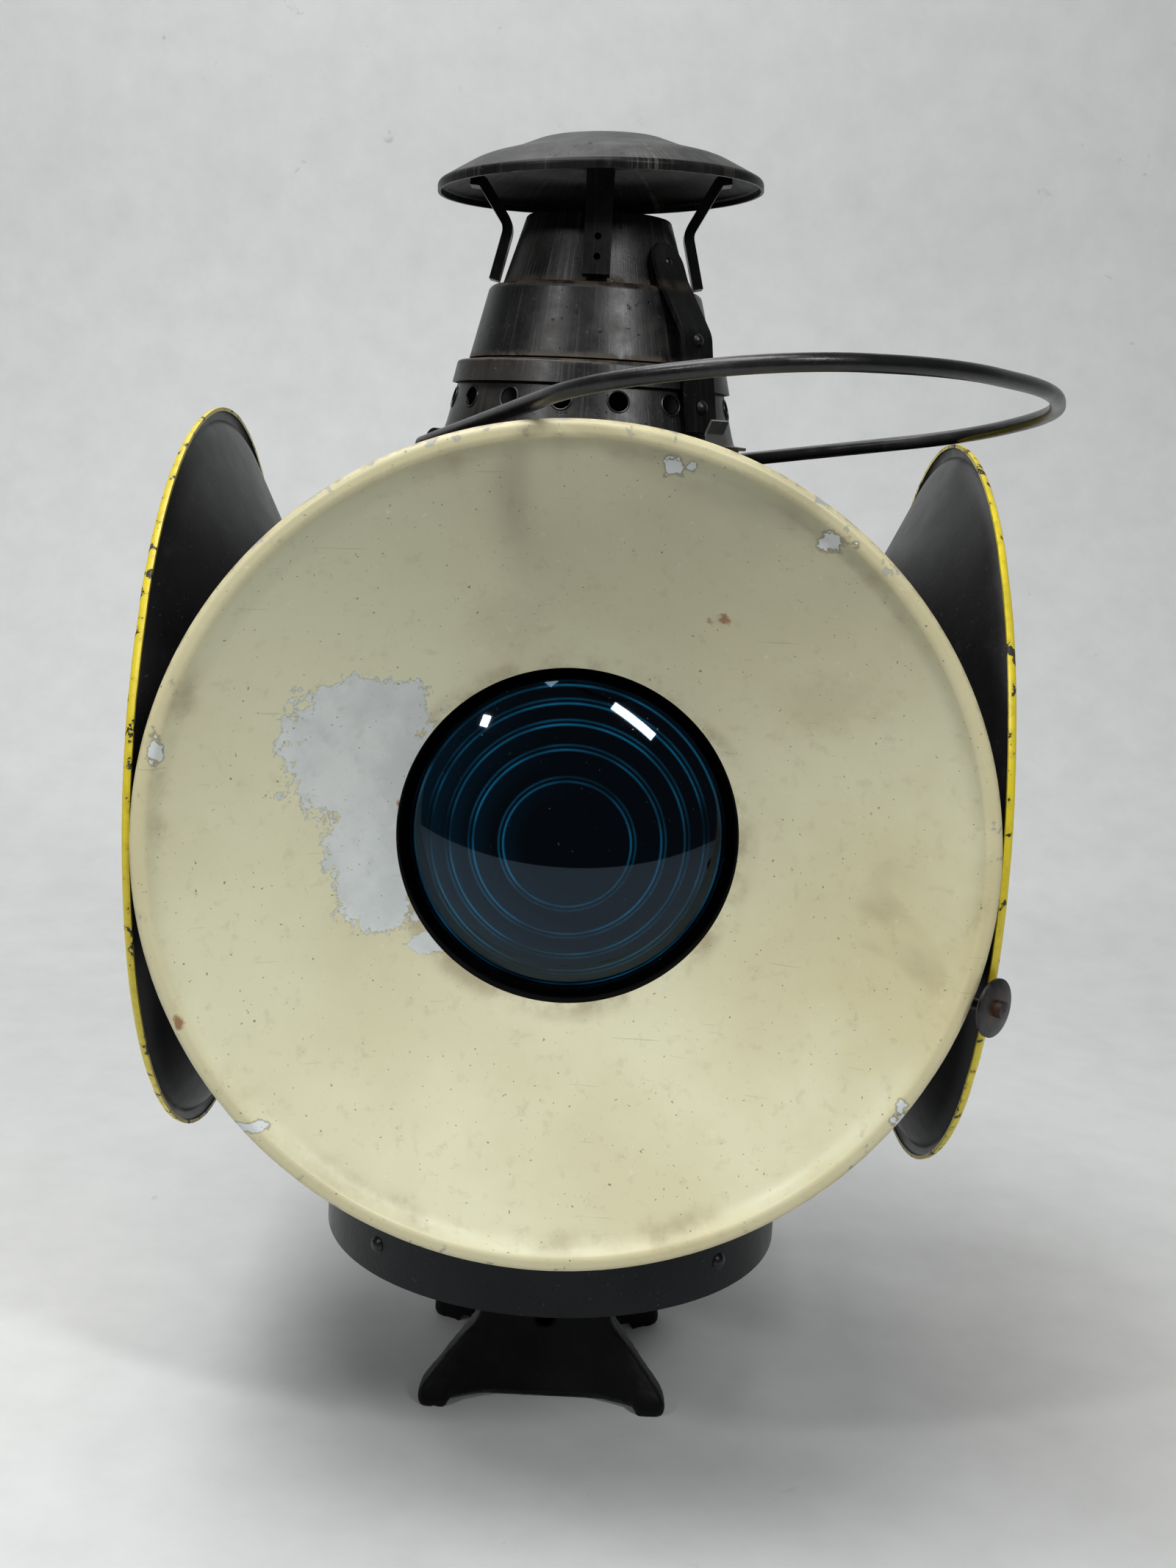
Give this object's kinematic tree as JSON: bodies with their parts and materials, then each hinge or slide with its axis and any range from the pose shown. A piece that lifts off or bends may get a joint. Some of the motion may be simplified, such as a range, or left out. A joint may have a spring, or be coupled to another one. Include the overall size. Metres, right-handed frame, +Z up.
{
  "type": "railway switch lamp",
  "caption": "Four-way oil switch lamp: drum body with dished round day targets round its lenses, ventilated top with cap, swinging bail, wick knob and toed socket base.",
  "frame": {"origin": "centre of the spindle socket's mouth, in the plane of the four toes that the lamp stands on", "axes": "+Z up along the socket and the lamp's centre line, -Y towards the front lens, +X towards the right lens"},
  "size_m": [0.3429, 0.3793, 0.5505],
  "materials": {
    "cream_target": "aged gloss enamel on the face, black on the back",
    "yellow_target": "aged gloss enamel on the face, black on the back",
    "body_black": "worn satin",
    "band_paint": "satin blue-grey",
    "vent_black": "worn satin over blackened steel",
    "bail_steel": "satin black wire",
    "cast_black": "matt black paint over rough casting",
    "rivet_black": "worn satin",
    "green_glass": "deep blue-green pressed glass",
    "amber_glass": "amber pressed glass",
    "gasket": "compressed gasket",
    "zinc_tin": "dulled tin plate",
    "burner_brass": "tarnished",
    "wick_cotton": "woven cotton",
    "knob_black": "rubbed satin with rust"
  },
  "bodies": {
    "lamp": {"back_gasket": "gasket", "back_lens": "green_glass", "back_lens_barrel": "body_black", "back_retainer": "body_black", "back_target": "cream_target", "back_target_screws": "rivet_black", "bail_ears": "body_black", "band_rivets": "rivet_black", "base_band": "band_paint", "base_bracket": "cast_black", "body_drum": "body_black", "body_floor": "body_black", "bracket_bolts": "rivet_black", "burner": "burner_brass", "fount_filler_cap": "burner_brass", "fount_seat": "zinc_tin", "front_gasket": "gasket", "front_lens": "green_glass", "front_lens_barrel": "body_black", "front_retainer": "body_black", "front_target": "cream_target", "front_target_screws": "rivet_black", "left_gasket": "gasket", "left_lens": "amber_glass", "left_lens_barrel": "body_black", "left_retainer": "body_black", "left_target": "yellow_target", "left_target_screws": "rivet_black", "lid_catch_spring": "zinc_tin", "lid_hinge_base": "body_black", "lid_hinge_pin": "rivet_black", "oil_fount": "zinc_tin", "right_gasket": "gasket", "right_lens": "amber_glass", "right_lens_barrel": "body_black", "right_retainer": "body_black", "right_target": "yellow_target", "right_target_screws": "rivet_black", "roof": "body_black", "socket_set_screw": "rivet_black", "stem_bush": "rivet_black", "wick_tube": "burner_brass"},
    "lid": {"vent_ring": "vent_black", "vent_skirt": "vent_black", "lower_cone": "vent_black", "upper_cone": "vent_black", "cap": "vent_black", "cap_straps": "vent_black", "front_tie_strap": "vent_black", "rear_tie_strap": "vent_black", "tie_rivets": "rivet_black", "lid_hinge_leaf": "vent_black", "lid_tab": "vent_black"},
    "bail": {"bail": "bail_steel"},
    "wick_raiser": {"wick_wheel_spindle": "burner_brass", "wick_stem": "knob_black", "wick_knob": "knob_black"},
    "wick": {"wick": "wick_cotton"}
  },
  "joints": [
    {"name": "bail_swing", "type": "hinge", "parent": "lamp", "child": "bail", "pos_m": [0, 0, 0.4205], "axis": [-0.7771, -0.6293, 0], "range_deg": [0, 161]},
    {"name": "lid_open", "type": "hinge", "parent": "lamp", "child": "lid", "pos_m": [-0.05233, 0.05233, 0.4272], "axis": [-0.7071, -0.7071, 0], "range_deg": [0, 100]},
    {"name": "knob_turn", "type": "hinge", "parent": "lamp", "child": "wick_raiser", "pos_m": [-0.00319, -0.00332, 0.2305], "axis": [0.7214, -0.6925, 0], "range_deg": [-62, 124]},
    {"name": "wick_raise", "type": "slide", "parent": "lamp", "child": "wick", "axis": [0, 0, 1], "range_m": [-0.0036, 0.0072]}
  ],
  "couplings": [
    {"joint": "knob_turn", "follows": "wick_raise", "rad_per_m": 290}
  ]
}
